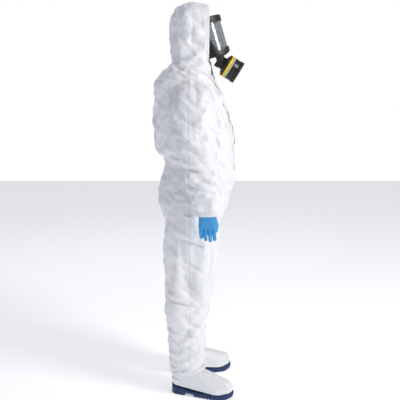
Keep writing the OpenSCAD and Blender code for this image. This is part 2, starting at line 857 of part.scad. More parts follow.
// A flat strap round the head in plan, rising from one height to the other.
module strap(z, tilt, from_angle, to_angle) {
    translate([0, head_y, z]) rotate([tilt, 0, 0]) rotate([0, 0, from_angle])
        rotate_extrude(angle = to_angle - from_angle, $fn = 96)
            translate([strap_r, -8]) square([strap_wall, 16]);
}

module mask_harness() {
    color("black") {
        for (m = [0, 1]) mirror([m, 0, 0]) {
            strap(mask_z + buckle_z[0], 0, 182, 112);
            strap(mask_z + buckle_z[1], 22, 182, 124);
        }
        translate([0, head_y, pad_z]) intersection() {
            difference() {
                cylinder(h = 46, r = strap_r + strap_wall, center = true, $fn = 96);
                cylinder(h = 50, r = strap_r, center = true, $fn = 96);
            }
            translate([-33, 0, -40]) cube([66, 200, 80]);
        }
        translate([0, head_y, pad_z]) rotate([0, 90, 0]) rotate([0, 0, 106])
            rotate_extrude(angle = 122, $fn = 96) translate([strap_r, -9]) square([strap_wall, 18]);
    }
}

module harness_buckles() {
    color("silver") for (m = [0, 1], z = buckle_z) mirror([m, 0, 0])
        translate([-strap_r - 1, head_y - 14, mask_z + z]) difference() {
            cube([3, 14, 22], center = true);
            cube([5, 8, 17], center = true);
        }
}

// ---------- filter ----------

label_from = 12;
label_width = 26;
filter_r = filter_diameter / 2;
cap_length = 18;

module filter_body() {
    color("black") filter_place() difference() {
        union() {
            translate([0, 0, -thread_length]) cylinder(h = thread_length + 3, r = thread_r, $fn = 64);
            translate([0, 0, shut_gap]) cylinder(h = 7, r = filter_r - 9, $fn = 96);
            translate([0, 0, 7]) cylinder(h = filter_length - cap_length - 7, r = filter_r - 1, $fn = 96);
            for (z = [7, label_from + label_width])
                translate([0, 0, z]) cylinder(h = 5, r = filter_r, $fn = 96);
        }
        translate([0, 0, -thread_length - 1]) cylinder(h = thread_length + 6, r = 15, $fn = 48);
    }
}

module filter_label() {
    color("gold") filter_place() translate([0, 0, label_from + 0.1]) difference() {
        cylinder(h = label_width - 0.2, r = filter_r - 0.3, $fn = 96);
        translate([0, 0, -1]) cylinder(h = label_width + 2, r = filter_r - 0.9, $fn = 96);
    }
}

module filter_cap() {
    inlet_r = filter_r - 16;
    color("black") filter_place() translate([0, 0, filter_length - cap_length + 0.2]) difference() {
        cylinder(h = cap_length - 0.2, r = filter_r + 1, $fn = 96);
        for (a = [0 : 30 : 330]) rotate([0, 0, a]) translate([filter_r + 4, 0, -1])
            cylinder(h = cap_length + 2, r = 6, $fn = 24);
        translate([0, 0, cap_length - 4]) cylinder(h = 10, r = inlet_r, $fn = 64);
    }
}

module filter_gasket() {
    color("dimgray") filter_place() translate([0, 0, -thread_length - 2.4]) difference() {
        cylinder(h = 2.2, r = thread_r - 0.6, $fn = 64);
        translate([0, 0, -1]) cylinder(h = 5, r = 15, $fn = 48);
    }
}

// ---------- nodes ----------

hood_centre_panel();
hood_side("right");  // hood_side_right
hood_side("left");  // hood_side_left
face_elastic();
chin_flap();
front_panel("right");  // front_panel_right
front_panel("left");  // front_panel_left
back_panel();
waist_elastic();
seat_panel();
crotch_gusset();
zip_tapes();
zip_coil();
zip_slider();
zip_pull();
zip_stops();
storm_flap();
flap_adhesive_tape();
upper_sleeve("right");  // right_upper_sleeve
upper_sleeve("left");  // left_upper_sleeve
elbow_panel("right");  // right_elbow_panel
elbow_panel("left");  // left_elbow_panel
lower_sleeve("right");  // right_lower_sleeve
lower_sleeve("left");  // left_lower_sleeve
cuff_elastic("right");  // right_cuff_elastic
cuff_elastic("left");  // left_cuff_elastic
glove("right");  // right_glove
glove("left");  // left_glove
thigh_panel("right");  // right_thigh_panel
thigh_panel("left");  // left_thigh_panel
knee_panel("right");  // right_knee_panel
knee_panel("left");  // left_knee_panel
shin_panel("right");  // right_shin_panel
shin_panel("left");  // left_shin_panel
ankle_elastic("right");  // right_ankle_elastic
ankle_elastic("left");  // left_ankle_elastic
boot_upper("right");  // right_boot_upper
boot_upper("left");  // left_boot_upper
boot_sole("right");  // right_boot_sole
boot_sole("left");  // left_boot_sole
boot_insole("right");  // right_boot_insole
boot_insole("left");  // left_boot_insole
boot_toecap("right");  // right_boot_toecap
boot_toecap("left");  // left_boot_toecap
mask_lens();
frame_half(true);  // mask_frame_upper
frame_half(false);  // mask_frame_lower
mask_frame_screws();
mask_face_seal();
mask_oronasal();
mask_connector();
mask_inlet_valve();
mask_outlet_valve();
mask_outlet_cover();
mask_harness();
harness_buckles();
filter_body();
filter_label();
filter_cap();
filter_gasket();
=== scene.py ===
import bpy
import json
import math
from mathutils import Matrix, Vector, noise

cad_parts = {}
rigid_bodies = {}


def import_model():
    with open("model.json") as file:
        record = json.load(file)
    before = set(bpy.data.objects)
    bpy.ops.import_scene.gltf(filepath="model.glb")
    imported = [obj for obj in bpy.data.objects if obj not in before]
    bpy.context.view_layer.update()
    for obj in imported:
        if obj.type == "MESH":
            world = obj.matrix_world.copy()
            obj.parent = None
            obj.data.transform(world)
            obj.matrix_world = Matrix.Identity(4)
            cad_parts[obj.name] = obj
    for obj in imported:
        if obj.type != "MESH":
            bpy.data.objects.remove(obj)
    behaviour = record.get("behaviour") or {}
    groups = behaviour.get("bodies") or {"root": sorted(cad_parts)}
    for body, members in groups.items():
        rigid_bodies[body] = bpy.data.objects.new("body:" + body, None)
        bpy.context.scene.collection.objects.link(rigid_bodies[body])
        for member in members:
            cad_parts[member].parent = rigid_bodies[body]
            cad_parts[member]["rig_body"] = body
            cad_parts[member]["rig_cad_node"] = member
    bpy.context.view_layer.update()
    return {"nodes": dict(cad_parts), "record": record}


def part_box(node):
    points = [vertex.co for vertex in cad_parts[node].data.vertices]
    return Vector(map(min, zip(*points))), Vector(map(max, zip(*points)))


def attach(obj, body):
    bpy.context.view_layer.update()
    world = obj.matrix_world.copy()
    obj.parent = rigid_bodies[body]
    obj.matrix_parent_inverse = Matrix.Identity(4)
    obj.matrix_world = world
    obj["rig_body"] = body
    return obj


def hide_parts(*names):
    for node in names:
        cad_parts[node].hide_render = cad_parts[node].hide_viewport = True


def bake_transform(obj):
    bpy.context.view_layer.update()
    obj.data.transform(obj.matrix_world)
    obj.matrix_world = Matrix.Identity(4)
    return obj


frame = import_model()
nodes = frame["nodes"]


def deselectAll():
    if bpy.context.object and bpy.context.object.mode != "OBJECT":
        bpy.ops.object.mode_set(mode="OBJECT")
    bpy.ops.object.select_all(action="DESELECT")


def pick(*objs):
    deselectAll()
    for obj in objs:
        obj.select_set(True)
    bpy.context.view_layer.objects.active = objs[0]
    return objs[0]


def modify(obj, kind, **settings):
    # adds a modifier and applies it at once
    pick(obj)
    mod = obj.modifiers.new(kind.lower(), kind)
    for key, value in settings.items():
        setattr(mod, key, value)
    bpy.ops.object.modifier_apply(modifier=mod.name)
    return obj


def editAll(obj, *steps):
    # runs edit-mode operators on the whole mesh
    pick(obj)
    bpy.ops.object.mode_set(mode="EDIT")
    bpy.ops.mesh.select_all(action="SELECT")
    for step in steps:
        step()
    bpy.ops.object.mode_set(mode="OBJECT")
    return obj


def dropFaces(obj, test):
    # deletes the faces whose centre passes the test
    pick(obj)
    for poly in obj.data.polygons:
        poly.select = bool(test(poly.center))
    bpy.ops.object.mode_set(mode="EDIT")
    bpy.ops.mesh.select_mode(type="FACE")
    bpy.ops.mesh.delete(type="FACE")
    bpy.ops.object.mode_set(mode="OBJECT")
    return obj


def cloud(name, points):
    mesh = bpy.data.meshes.new(name)
    mesh.from_pydata([tuple(p) for p in points], [], [])
    obj = bpy.data.objects.new(name, mesh)
    bpy.context.scene.collection.objects.link(obj)
    return obj


def hullOf(name, points):
    # the tight skin round a set of points
    return editAll(cloud(name, points), lambda: bpy.ops.mesh.convex_hull())


def joined(name, parts):
    pick(*parts)
    bpy.ops.object.join()
    obj = bpy.context.object
    obj.name = obj.data.name = name
    return obj


def copyOf(name, source):
    obj = source.copy()
    obj.data = source.data.copy()
    obj.parent = None
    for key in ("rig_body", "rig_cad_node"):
        if key in obj:
            del obj[key]
    obj.name = obj.data.name = name
    bpy.context.scene.collection.objects.link(obj)
    return obj


def corners(*names):
    return [v.co.copy() for name in names for v in nodes[name].data.vertices]


def linear(code):
    # sRGB hex to the linear colour that a shader takes
    parts = [int(code[i:i + 2], 16) / 255 for i in (1, 3, 5)]
    return tuple([c / 12.92 if c <= 0.04045 else ((c + 0.055) / 1.055) ** 2.4 for c in parts] + [1])


def addNode(tree, kind, settings=None, links=None):
    # one node, with its own settings, socket values and incoming links
    made = tree.nodes.new(kind)
    for key, value in (settings or {}).items():
        if isinstance(key, str) and hasattr(made, key):
            setattr(made, key, value)
        else:
            made.inputs[key].default_value = value
    for key, value in (links or {}).items():
        tree.links.new(value, made.inputs[key])
    return made


view = {"place": (-3.2, 0.0, 1.5), "pitch": 10, "lens": 60.3}
lamps = {
    "keyLight": {"place": (-1.8, -2.7, 2.9), "aim": (0, 0, 1.0), "tint": (1.0, 0.975, 0.93),
                 "power": 80, "size": 1.1},
    "fillLight": {"place": (-3.4, 2.6, 2.2), "aim": (0, 0, 0.9), "tint": (0.86, 0.88, 1.0),
                  "power": 6, "size": 2.6},
    "rimLight": {"place": (2.6, 0.8, 3.0), "aim": (0, 0, 1.1), "tint": (1.0, 1.0, 1.0),
                 "power": 14, "size": 2.0},
}
sky = {"tint": (0.88, 0.89, 1.0, 1), "strength": 0.42}
ground = {"size": 14, "colour": "#f4f4f4", "roughness": 0.9, "glow": 0.40}


def makeStudio():
    deselectAll()
    bpy.ops.object.camera_add(location=view["place"],
                              rotation=(math.radians(90 - view["pitch"]), 0, math.radians(-90)))
    camera = bpy.context.object
    camera.name = "studioCamera"
    camera.data.lens = view["lens"]
    camera.data.sensor_width = 36
    bpy.context.scene.camera = camera
    for name, lamp in lamps.items():
        bpy.ops.object.light_add(type="AREA", location=lamp["place"])
        light = bpy.context.object
        light.name = name
        light.data.energy = lamp["power"]
        light.data.size = lamp["size"]
        light.data.color = lamp["tint"]
        aim = Vector(lamp["aim"]) - Vector(lamp["place"])
        light.rotation_euler = aim.to_track_quat("-Z", "Y").to_euler()
    world = bpy.data.worlds.new("paleStudio")
    bpy.context.scene.world = world
    world.use_nodes = True
    tree = world.node_tree
    glow = tree.nodes["Background"]
    glow.inputs["Color"].default_value = sky["tint"]
    glow.inputs["Strength"].default_value = sky["strength"]
    # the lens sees a white backdrop that is brighter than the light it gives
    backdrop = addNode(tree, "ShaderNodeBackground", {"Color": (1, 1, 1, 1), "Strength": 1.0})
    seen = addNode(tree, "ShaderNodeLightPath")
    mixed = addNode(tree, "ShaderNodeMixShader", None,
                    {0: seen.outputs["Is Camera Ray"], 1: glow.outputs[0], 2: backdrop.outputs[0]})
    tree.links.new(mixed.outputs[0], tree.nodes["World Output"].inputs["Surface"])
    bpy.context.scene.view_settings.view_transform = "Standard"
    bpy.ops.mesh.primitive_plane_add(size=ground["size"], location=(0, 0, 0))
    floor = bpy.context.object
    floor.name = "studioFloor"
    material = bpy.data.materials.new("paleFloor")
    material.use_nodes = True
    shader = material.node_tree.nodes["Principled BSDF"]
    shader.inputs["Base Color"].default_value = linear(ground["colour"])
    shader.inputs["Roughness"].default_value = ground["roughness"]
    shader.inputs["Emission Color"].default_value = (1, 1, 1, 1)
    shader.inputs["Emission Strength"].default_value = ground["glow"]
    floor.data.materials.append(material)


makeStudio()
print("studio ready")


suit = {
    "cell": 0.0125,          # size of a cloth cell before it is subdivided
    "trunkStep": 0.05,       # the form under the cloth is built in bands this tall
    "seatStep": 0.08, "legStep": 0.06, "forearmStep": 0.09,
    "bodyGap": 0.010,        # how far the body under the cloth lies behind it
    "slack": 0.055,          # how much longer the cloth is cut than the form it hangs on
    "frames": 22,
    "faceTop": 1.853, "faceLow": 1.612, "faceFront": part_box("face_elastic")[0][1] + 0.004,
    "armCentre": (0.035, 1.405), "armHole": 0.088,
    "shoulderLow": 1.268, "sleeveTop": 1.37, "sleeveInner": 0.189,    # where the sleeve's two skins lap
    "hemHeight": 0.134, "hemSlope": -0.176, "hemMiddle": 0.055, "hemUnder": 0.018,
    "cuffHeight": 0.9275, "cuffUnder": 0.006,
    "armInner": 0.143,
    "brimLow": 1.63, "brimBack": 0.05, "brimFade": 0.03,
}
# where the cloth is sewn or elasticated, and how firmly each place holds it
hold = {
    "sleeveOuter": 0.19, "sleeveLow": 0.9, "sleeveHead": 0.1043, "headEdge": 0.160, "cuffBand": 0.026,
    "sideOuter": 0.11, "sideRing": 0.116,
    "hemBand": 0.024,
    "faceLow": 1.6, "faceBand": 0.022,
    "waist": 1.124, "waistHalf": 0.012, "waistBack": 0.02, "waistGrip": 0.9,
    "zipHalf": 0.016, "zipLow": 0.86, "zipTop": 1.60, "zipGrip": 0.5,
}


def bandedForm(name, points, step):
    # stacks tight skins of overlapping bands, so a waist stays a waist
    low = min(p.z for p in points)
    high = max(p.z for p in points)
    count = max(1, round((high - low) / step))
    parts = []
    for i in range(count):
        floorZ = low + (high - low) * i / count
        roofZ = low + (high - low) * (i + 1) / count
        pad, chosen = step * 0.52, []
        # the band reaches out until it holds a ring of points above and below, so that no waist is pinched
        while not chosen or min(p.z for p in chosen) > floorZ or max(p.z for p in chosen) < roofZ:
            chosen = [p for p in points if floorZ - pad <= p.z <= roofZ + pad]
            pad += step * 0.25
        parts.append(hullOf(name, chosen))
    return parts


def legPoints(side):
    return corners(*[f"{side}_{n}" for n in ("thigh_panel", "knee_panel", "shin_panel", "ankle_elastic")])


def makeForm():
    trunk = corners("front_panel_right", "front_panel_left", "back_panel")
    parts = bandedForm("trunkForm", trunk, suit["trunkStep"])
    parts += bandedForm("seatForm", corners("seat_panel"), suit["seatStep"])
    for side in ("right", "left"):
        parts += bandedForm("legForm", legPoints(side), suit["legStep"])
    parts.append(hullOf("hoodForm", corners("hood_centre_panel", "hood_side_right", "hood_side_left",
                                            "face_elastic")))
    main = joined("mainForm", parts)
    arms = []
    for side, sign in (("right", -1), ("left", 1)):
        upper = corners(side + "_upper_sleeve")
        capPart = hullOf("armForm", [p for p in upper if p.z > suit["shoulderLow"]])
        longPart = hullOf("armForm", [p for p in upper if p.z < suit["sleeveTop"]
                                      and p.x * sign > suit["sleeveInner"]])
        lower = bandedForm("armForm", corners(side + "_elbow_panel", side + "_lower_sleeve",
                                              side + "_cuff_elastic"), suit["forearmStep"])
        arms.append(joined(side + "ArmForm", [capPart, longPart] + lower))
    for form in [main] + arms:
        modify(form, "REMESH", mode="VOXEL", voxel_size=suit["cell"])
        modify(form, "SMOOTH", factor=0.5, iterations=8)
    # the smoothing draws the brim in, so the brim is laid back on the hood's own outline
    outline = hullOf("hoodOutline", corners("hood_centre_panel", "hood_side_right", "hood_side_left",
                                            "face_elastic"))
    group = main.vertex_groups.new(name="brim")
    for v in main.data.vertices:
        if v.co.z > suit["brimLow"]:
            forward = min(1, max(0, (suit["brimBack"] - v.co.y) / suit["brimBack"]))
            weight = forward * min(1, (v.co.z - suit["brimLow"]) / suit["brimFade"])
            if weight:
                group.add([v.index], weight, "REPLACE")
    modify(main, "SHRINKWRAP", target=outline, vertex_group="brim")
    main.vertex_groups.remove(main.vertex_groups["brim"])
    bpy.data.objects.remove(outline)
    return main, arms


def fromArmhole(p):
    # distance from the middle of the armhole, seen from the side
    return math.hypot(p.y - suit["armCentre"][0], p.z - suit["armCentre"][1])


def hemAt(p):
    return suit["hemHeight"] - suit["hemUnder"] + suit["hemSlope"] * (p.y - suit["hemMiddle"])


def foldPlace(p, scale, shift=0):
    # the folds run down and forward, so the noise is stretched that way
    along, across = p.y * 0.8 + p.z * 0.6, p.z * 0.8 - p.y * 0.6
    return Vector((p.x * scale[0], along * scale[1], across * scale[2] + shift))


waves = {"scale": (8, 5, 15), "long": 0.012, "short": 0.005, "shortScale": 2.1}


def roughen(obj, seed):
    # long soft waves that the simulation turns into folds
    for v in obj.data.vertices:
        p = v.co
        q = foldPlace(p, waves["scale"], seed)
        loose = 1 - min(1, pinWeight(p))
        wave = waves["long"] * noise.noise(q) + waves["short"] * noise.noise(q * waves["shortScale"])
        v.co = p + v.normal * loose * wave


def pinWeight(p):
    out, ring = abs(p.x), fromArmhole(p)
    onSleeve = out > hold["sleeveOuter"] and p.z > hold["sleeveLow"]
    inHead = out > suit["armInner"] - 0.004 and ring < hold["sleeveHead"]
    if onSleeve or inHead:
        return 1 if out < hold["headEdge"] or p.z < suit["cuffHeight"] + hold["cuffBand"] else 0
    if out > hold["sideOuter"] and ring < hold["sideRing"]:
        return 1
    if p.z < hemAt(p) + hold["hemBand"]:
        return 1
    if p.z > hold["faceLow"] and p.y < suit["faceFront"] + hold["faceBand"]:
        return 1
    if abs(p.z - hold["waist"]) < hold["waistHalf"] and p.y > hold["waistBack"]:
        return hold["waistGrip"]
    if out < hold["zipHalf"] and p.y < 0 and hold["zipLow"] < p.z < hold["zipTop"]:
        return hold["zipGrip"]
    return 0


def makeCloth():
    main, arms = makeForm()
    body = joined("clothBody", [copyOf("clothBody", form) for form in [main] + arms])
    body.data.update()
    for v, n in [(v, v.normal.copy()) for v in body.data.vertices]:
        v.co -= n * suit["bodyGap"]
    # the body is opened at the shoulder seams, where it would push the two cloths apart
    dropFaces(body, lambda c: 0.125 < abs(c.x) < 0.195 and fromArmhole(c) < 0.125)
    dropFaces(main, lambda c: abs(c.x) > 0.1 and fromArmhole(c) < suit["armHole"] or c.z < hemAt(c) or (
        c.y < suit["faceFront"] and suit["faceLow"] < c.z < suit["faceTop"]))
    for arm in arms:
        dropFaces(arm, lambda c: c.z < suit["cuffHeight"] + suit["cuffUnder"])
    for i, form in enumerate([main] + arms):
        roughen(form, 3.1 * i)
        # the slot number tells trunk, right sleeve and left sleeve apart after they are joined
        form.data.materials.clear()
        form.data.materials.append(bpy.data.materials.new(("trunkMark", "rightMark", "leftMark")[i]))
        for poly in form.data.polygons:
            poly.material_index = 0
    cloth = joined("coverallCloth", [main] + arms)
    pick(body)
    body.modifiers.new("collision", "COLLISION")
    body.collision.thickness_outer = 0.002
    body.collision.cloth_friction = 12
    group = cloth.vertex_groups.new(name="pin")
    for v in cloth.data.vertices:
        weight = pinWeight(v.co)
        if weight:
            group.add([v.index], weight, "REPLACE")
    pick(cloth)
    mod = cloth.modifiers.new("drape", "CLOTH")
    settings = mod.settings
    settings.quality = 6
    settings.mass = 0.25
    settings.tension_stiffness = settings.compression_stiffness = 40
    settings.shear_stiffness = 20
    settings.bending_stiffness = 1.6
    settings.tension_damping = settings.compression_damping = 8
    settings.air_damping = 3
    settings.vertex_group_mass = "pin"
    settings.pin_stiffness = 1
    settings.shrink_min = -suit["slack"]
    mod.collision_settings.distance_min = 0.002
    mod.collision_settings.collision_quality = 2
    mod.collision_settings.use_self_collision = False
    mod.point_cache.frame_start = 1
    mod.point_cache.frame_end = suit["frames"]
    for step in range(1, suit["frames"] + 1):
        bpy.context.scene.frame_set(step)
    bpy.ops.object.modifier_apply(modifier=mod.name)
    bpy.context.scene.frame_set(1)
    bpy.data.objects.remove(body)
    return cloth


# folds as strokes on the side: start y, z, end y, z, half width, height (below zero is a crease)
bodyFolds = (
    (0.10, 0.800, -0.05, 0.740, 0.013, -0.009), (0.10, 0.825, -0.02, 0.780, 0.018, 0.009),
    (0.09, 0.700, -0.06, 0.600, 0.015, -0.007), (0.08, 0.640, -0.05, 0.560, 0.015, 0.006),
    (0.14, 0.500, 0.02, 0.462, 0.012, -0.011), (0.14, 0.528, 0.03, 0.492, 0.017, 0.010),
    (-0.03, 0.478, 0.06, 0.425, 0.012, -0.007), (-0.02, 0.400, 0.10, 0.300, 0.013, -0.007),
    (0.00, 0.350, 0.11, 0.265, 0.013, 0.006), (-0.01, 0.275, 0.10, 0.205, 0.011, -0.006),
    (0.00, 0.225, 0.11, 0.172, 0.012, 0.007), (0.08, 1.020, -0.08, 0.780, 0.015, -0.007),
    (0.09, 0.980, -0.05, 0.720, 0.017, 0.006), (0.02, 1.000, -0.11, 0.900, 0.014, -0.006),
    (0.13, 1.120, 0.01, 1.098, 0.013, -0.010), (0.13, 1.150, 0.02, 1.135, 0.016, 0.008),
    (0.09, 1.600, -0.03, 1.585, 0.011, -0.008), (0.08, 1.570, -0.06, 1.500, 0.015, 0.006),
    (0.06, 1.800, -0.03, 1.738, 0.011, -0.007), (0.10, 1.752, -0.03, 1.700, 0.013, 0.005),
    (0.036, 1.770, 0.030, 1.640, 0.010, -0.007), (0.09, 1.690, -0.02, 1.660, 0.011, -0.006),
    (0.08, 1.822, -0.02, 1.800, 0.010, 0.004), (-0.09, 1.46, -0.13, 1.28, 0.013, -0.006),
    (-0.10, 1.24, -0.06, 1.10, 0.014, 0.006), (-0.12, 1.12, -0.05, 1.04, 0.013, -0.006),
)
sleeveFolds = (
    (0.07, 1.126, -0.08, 1.114, 0.010, -0.012), (0.07, 1.154, -0.06, 1.146, 0.015, 0.010),
    (0.03, 1.092, -0.09, 1.060, 0.011, -0.008), (0.03, 1.045, -0.09, 0.990, 0.012, 0.007),
    (0.02, 0.992, -0.09, 0.955, 0.009, -0.006), (0.10, 1.355, -0.02, 1.280, 0.014, -0.007),
    (0.09, 1.275, -0.04, 1.200, 0.014, 0.007), (0.10, 1.455, 0.00, 1.380, 0.013, -0.006),
    (0.08, 1.232, -0.03, 1.172, 0.011, -0.007), (0.02, 1.500, 0.02, 1.380, 0.013, -0.004),
)


press = {
    "gain": 1.6, "sharp": 1.4, "reach": 2.5,      # for every stroke: height, crispness, width that it affects
    "leftShift": 0.012, "wobble": 0.010,          # what makes the two sides differ, and keeps lines uneven
    "crumpleScale": (9, 6, 15), "crumple": 0.009, "crumpleBase": 0.003,
    "fineScale": 2.3, "fineCrumple": 0.007,
    "cuffHold": 0.02, "headHold": 0.162,
    "sleeveFacing": 0.55, "bodyFacing": 0.25,     # how far round to the front and back a stroke still shows
}


def strokeHeight(y, z, strokes, shift):
    total = 0
    for y0, z0, y1, z1, width, height in strokes:
        z0, z1 = z0 + shift, z1 - shift
        dy, dz = y1 - y0, z1 - z0
        t = max(0, min(1, ((y - y0) * dy + (z - z0) * dz) / (dy * dy + dz * dz)))
        gap = math.hypot(y - y0 - t * dy, z - z0 - t * dz) / width
        if gap < press["reach"]:
            # a ridge is round and a crease is sharp, and both fade towards their ends
            shape = math.exp(-gap * gap) if height > 0 else math.exp(-press["sharp"] * gap)
            total += press["gain"] * height * shape * (0.35 + 0.65 * math.sin(math.pi * min(1, t * 1.1)))
    return total


def pressFolds(obj):
    # the worn-in folds, each side a little different
    sleeves = {i for poly in obj.data.polygons if poly.material_index for i in poly.vertices}
    moves = []
    for v in obj.data.vertices:
        p, n = v.co, v.normal
        side = 1 if p.x > 0 else -1
        shift = press["leftShift"] if side > 0 else 0
        wobble = press["wobble"] * noise.noise(p * 9)
        q = foldPlace(p, press["crumpleScale"])
        fine = abs(noise.noise(q * press["fineScale"] + Vector((4, 1, 7))))
        crumple = press["crumple"] * abs(noise.noise(q)) + press["fineCrumple"] * fine - press["crumpleBase"]
        if v.index in sleeves:
            held = 1 if p.z < suit["cuffHeight"] + press["cuffHold"] or abs(p.x) < press["headHold"] else 0
            strokes, base = sleeveFolds, press["sleeveFacing"]
        else:
            held = pinWeight(p)
            strokes, base = bodyFolds, press["bodyFacing"]
        facing = max(0, min(1, base + n.x * side))
        rise = strokeHeight(p.y + wobble, p.z + wobble, strokes, shift)
        moves.append(n * (rise * facing + crumple) * (1 - min(1, held)))
    for v, move in zip(obj.data.vertices, moves):
        v.co += move


def rememberPlace(obj):
    # the pattern follows this, so it stays on the cloth while a joint bends it
    place = obj.data.attributes.new("restPlace", "FLOAT_VECTOR", "POINT")
    place.data.foreach_set("vector", [c for v in obj.data.vertices for c in v.co])


def finishCloth(obj):
    modify(obj, "SUBSURF", levels=1, render_levels=1)
    editAll(obj, lambda: bpy.ops.mesh.normals_make_consistent(inside=False))
    pressFolds(obj)
    modify(obj, "SOLIDIFY", thickness=0.0008, offset=-1)
    editAll(obj, lambda: bpy.ops.mesh.faces_shade_smooth())
    rememberPlace(obj)


cloth = makeCloth()
finishCloth(cloth)
print("cloth ready", len(cloth.data.polygons))

# each entry: common name and making of the real material, then what it gives the eye
finishes = {
    # polyethylene film laminated on spunbond polypropylene: white, slightly glossy, crisp small creases
    "laminateFilm": {"colours": ("#f3f4f6", "#e4e6ea"), "spread": 7, "rough": (0.40, 0.62), "kind": "crease",
                     "grain": 62, "depth": 0.0055, "strength": 0.7, "fine": 420, "fineDepth": 0.0006,
                     "sheen": 0.18, "onCloth": True, "seams": True},
    # the same film gathered over a narrow rubber elastic: duller because of its pleats
    "gatheredCasing": {"colours": ("#f0f1f3", "#dcdee2"), "spread": 60, "rough": (0.5, 0.7), "kind": "crease",
                       "grain": 160, "depth": 0.0012, "strength": 0.5, "fine": 600, "fineDepth": 0.0004,
                       "sheen": 0.15},
    # dipped nitrile rubber: satin, fine puckers over the fingers
    "dippedNitrile": {"colours": ("#3fa2de", "#2c8ccb"), "spread": 30, "rough": (0.36, 0.5), "kind": "crease",
                      "grain": 150, "depth": 0.0030, "strength": 0.8, "fine": 1500, "fineDepth": 0.0003,
                      "sheen": 0.05},
    # injection-moulded PVC: white, satin, light grey scuffs low down
    "mouldedPvc": {"colours": ("#f1f3f4", "#e2e5e8"), "spread": 14, "rough": (0.28, 0.45), "kind": "noise",
                   "grain": 260, "depth": 0.0006, "strength": 0.4, "fine": 1400, "fineDepth": 0.0002,
                   "scuff": "#b9bdc2"},
    # moulded nitrile rubber: navy, matt, paler rubbed patches
    "navyRubber": {"colours": ("#1d3567", "#162a55"), "spread": 40, "rough": (0.5, 0.72), "kind": "noise",
                   "grain": 500, "depth": 0.0006, "strength": 0.5, "fine": 1800, "fineDepth": 0.0002,
                   "scuff": "#46587f"},
    # needle-punched felt: grey, fibrous, no gloss
    "needleFelt": {"colours": ("#75787c", "#5f6266"), "spread": 300, "rough": (0.85, 0.98), "kind": "noise",
                   "grain": 900, "depth": 0.001, "strength": 0.8, "fine": 2500, "fineDepth": 0.0004,
                   "sheen": 0.3},
    # pressed steel under stoving paint: even grey with faint orange peel
    "paintedSteel": {"colours": ("#8e9194", "#85888c"), "spread": 20, "rough": (0.35, 0.5), "kind": "noise",
                     "grain": 700, "depth": 0.0003, "strength": 0.4, "fine": 1500, "fineDepth": 0.0001,
                     "metallic": 0.3},
    # glass-filled nylon, spark-eroded mould: black, even fine grain
    "grainedNylon": {"colours": ("#151517", "#1d1d20"), "spread": 50, "rough": (0.36, 0.52), "kind": "noise",
                     "grain": 1400, "depth": 0.0005, "strength": 0.45, "fine": 2600, "fineDepth": 0.0002,
                     "scuff": "#2c2c30"},
    # compression-moulded rubber: black, matt, faint bloom
    "mouldedRubber": {"colours": ("#131314", "#1e1e20"), "spread": 26, "rough": (0.55, 0.75), "kind": "noise",
                      "grain": 600, "depth": 0.0005, "strength": 0.4, "fine": 1800, "fineDepth": 0.0002,
                      "sheen": 0.1},
    # liquid silicone: pale grey, translucent-looking, smooth
    "greySilicone": {"colours": ("#b4b9bb", "#a6abae"), "spread": 22, "rough": (0.38, 0.55), "kind": "noise",
                     "grain": 500, "depth": 0.0004, "strength": 0.35, "fine": 1500, "fineDepth": 0.0001},
    # orange silicone disc, thin and slightly glossy
    "orangeSilicone": {"colours": ("#cf7a36", "#bf6d2c"), "spread": 60, "rough": (0.35, 0.5), "kind": "noise",
                       "grain": 900, "depth": 0.0003, "strength": 0.3, "fine": 1800, "fineDepth": 0.0001},
    # turned stainless steel: bright, fine turning lines
    "turnedSteel": {"colours": ("#c9ccd0", "#b7babe"), "spread": 200, "rough": (0.22, 0.36),
                    "kind": "brushed", "grain": 1600, "depth": 0.0003, "strength": 0.4, "fine": 2500,
                    "fineDepth": 0.0001, "metallic": 1.0},
    # die-cast zinc, nickel plated: bright but slightly rippled
    "platedZinc": {"colours": ("#c2c4c8", "#adb0b4"), "spread": 300, "rough": (0.25, 0.42), "kind": "noise",
                   "grain": 1200, "depth": 0.0004, "strength": 0.4, "fine": 2400, "fineDepth": 0.0001,
                   "metallic": 1.0},
    # woven polyester tape: white ribs 0.5 mm apart
    "wovenTape": {"colours": ("#eeeeec", "#dcdcd8"), "spread": 200, "rough": (0.7, 0.9), "kind": "weave",
                  "grain": 320, "depth": 0.0006, "strength": 0.7, "fine": 2000, "fineDepth": 0.0002,
                  "sheen": 0.2},
    # extruded nylon coil: ribs 1.25 mm apart
    "nylonCoil": {"colours": ("#e9e9e5", "#d9d9d4"), "spread": 120, "rough": (0.35, 0.5), "kind": "weave",
                  "grain": 128, "depth": 0.0010, "strength": 0.9, "fine": 2000, "fineDepth": 0.0001},
    # adhesive strip under siliconised paper: cream, slick
    "releasePaper": {"colours": ("#e8dfc0", "#ddd2ad"), "spread": 50, "rough": (0.3, 0.45), "kind": "crease",
                     "grain": 130, "depth": 0.0008, "strength": 0.4, "fine": 900, "fineDepth": 0.0002},
    # moulded ABS: black, satin
    "satinAbs": {"colours": ("#101012", "#18181b"), "spread": 40, "rough": (0.28, 0.42), "kind": "noise",
                 "grain": 1200, "depth": 0.0003, "strength": 0.35, "fine": 2200, "fineDepth": 0.0001,
                 "scuff": "#2a2a2e"},
}


